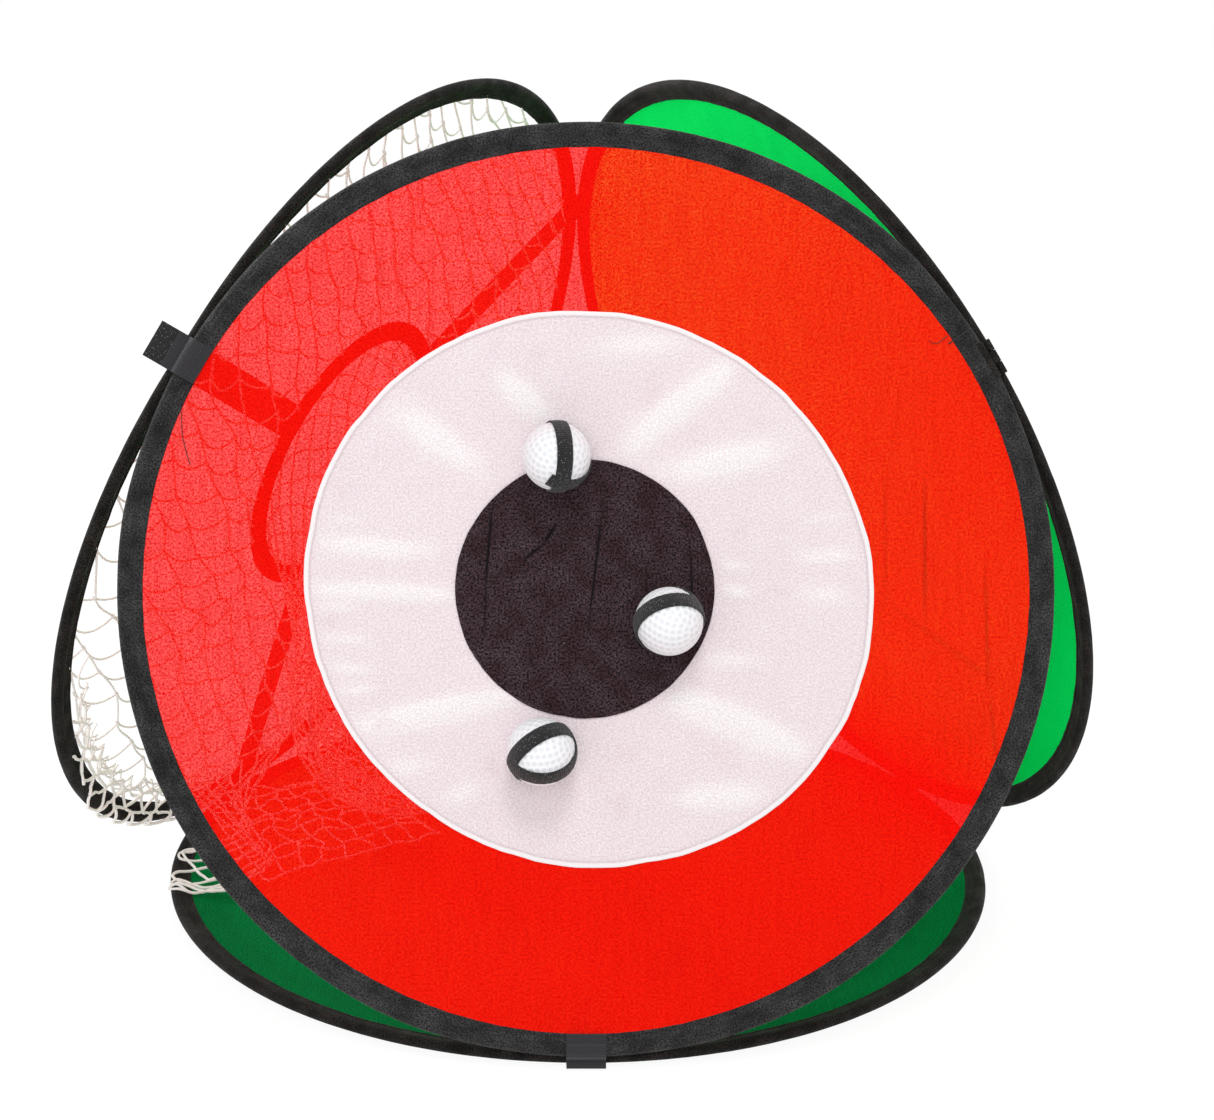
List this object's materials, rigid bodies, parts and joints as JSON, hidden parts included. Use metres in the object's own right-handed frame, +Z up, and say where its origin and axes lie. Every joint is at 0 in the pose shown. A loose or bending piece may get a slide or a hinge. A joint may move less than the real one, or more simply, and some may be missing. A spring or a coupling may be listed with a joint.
{
  "type": "pop-up chipping net",
  "caption": "Free-standing pop-up chipping target: sprung hoops lean together as a tetrahedron, with a hook-and-loop target, a net panel with a hole and catch bag, and stick-on balls.",
  "frame": {"origin": "on the ground under the middle of the floor panel", "axes": "+Z up; -Y towards the player facing the target panel; +X to the right seen from there"},
  "size_m": [0.684, 0.6572, 0.5613],
  "materials": {
    "binding": "black woven polyester binding",
    "spring_steel": "flat spring-steel wire",
    "crimp_steel": "pressed steel sleeve",
    "red_cloth": "see-through red loop cloth",
    "white_cloth": "pink-white loop cloth",
    "black_cloth": "black loop cloth",
    "net_cord": "cream twisted cord",
    "webbing": "black woven tape",
    "hook_tape": "black hook tape",
    "thread": "black sewing thread",
    "side_green_cloth": "bright green polyester cloth",
    "floor_green_cloth": "green polyester cloth",
    "ball_plastic": "white dimpled plastic"
  },
  "bodies": {
    "floor_panel": {"floor_binding": "binding", "floor_wire": "spring_steel", "floor_crimp": "crimp_steel", "floor_cloth": "floor_green_cloth", "joint_floor_side_lower_tape": "webbing", "hook_target_floor": "hook_tape", "hook_net_floor": "hook_tape", "joint_floor_side_thread": "thread"},
    "side_panel": {"side_binding": "binding", "side_wire": "spring_steel", "side_crimp": "crimp_steel", "side_cloth": "side_green_cloth", "joint_floor_side_upper_tape": "webbing", "joint_side_target_side_tape": "webbing", "joint_side_target_thread": "thread", "joint_side_net_side_tape": "webbing", "joint_side_net_thread": "thread"},
    "target_panel": {"target_binding": "binding", "target_wire": "spring_steel", "target_crimp": "crimp_steel", "target_cloth": "red_cloth", "target_white_disc": "white_cloth", "target_black_disc": "black_cloth", "joint_side_target_front_tape": "webbing"},
    "net_panel": {"net_binding": "binding", "net_wire": "spring_steel", "net_crimp": "crimp_steel", "net_face": "net_cord", "hole_binding": "binding", "hole_wire": "spring_steel", "hole_crimp": "crimp_steel", "catch_bag": "net_cord", "strap_front": "webbing", "strap_back": "webbing", "strap_floor": "webbing", "joint_side_net_net_tape": "webbing", "hook_target_net": "hook_tape"},
    "target_net_tab": {"tab_target_net": "webbing"},
    "target_floor_tab": {"tab_target_floor": "webbing"},
    "net_floor_tab": {"tab_net_floor": "webbing"},
    "ball_upper": {"ball_upper": "ball_plastic", "ball_upper_strips": "hook_tape"},
    "ball_right": {"ball_right": "ball_plastic", "ball_right_strips": "hook_tape"},
    "ball_lower": {"ball_lower": "ball_plastic", "ball_lower_strips": "hook_tape"}
  },
  "joints": [
    {"name": "side_panel_fold", "type": "hinge", "parent": "floor_panel", "child": "side_panel", "pos_m": [0.25673, 0.14822, 0.00533], "axis": [-0.5, 0.866, 0], "range_deg": [0, 109.4]},
    {"name": "target_panel_door", "type": "hinge", "parent": "side_panel", "child": "target_panel", "pos_m": [0.25673, -0.14822, 0.42457], "axis": [-0.5, 0.2887, 0.8165], "range_deg": [0, 109.4]},
    {"name": "net_panel_door", "type": "hinge", "parent": "side_panel", "child": "net_panel", "pos_m": [0, 0.29645, 0.42457], "axis": [0, 0.5774, -0.8165], "range_deg": [0, 109.4]},
    {"name": "target_net_tab_peel", "type": "hinge", "parent": "target_panel", "child": "target_net_tab", "pos_m": [-0.24179, -0.15299, 0.41711], "axis": [0.5, 0.2887, 0.8165], "range_deg": [0, 110]},
    {"name": "target_floor_tab_peel", "type": "hinge", "parent": "target_panel", "child": "target_floor_tab", "pos_m": [0, -0.29259, 0.02226], "axis": [-1, 0, 0], "range_deg": [0, 110]},
    {"name": "net_floor_tab_peel", "type": "hinge", "parent": "net_panel", "child": "net_floor_tab", "pos_m": [-0.25482, 0.14712, 0.02284], "axis": [0.5, 0.866, 0], "range_deg": [0, 110]},
    {"name": "ball_upper_pull_off", "type": "slide", "parent": "target_panel", "child": "ball_upper", "axis": [0, -0.9428, 0.3333], "range_m": [0, 0.2]},
    {"name": "ball_right_pull_off", "type": "slide", "parent": "target_panel", "child": "ball_right", "axis": [0, -0.9428, 0.3333], "range_m": [0, 0.2]},
    {"name": "ball_lower_pull_off", "type": "slide", "parent": "target_panel", "child": "ball_lower", "axis": [0, -0.9428, 0.3333], "range_m": [0, 0.2]}
  ]
}
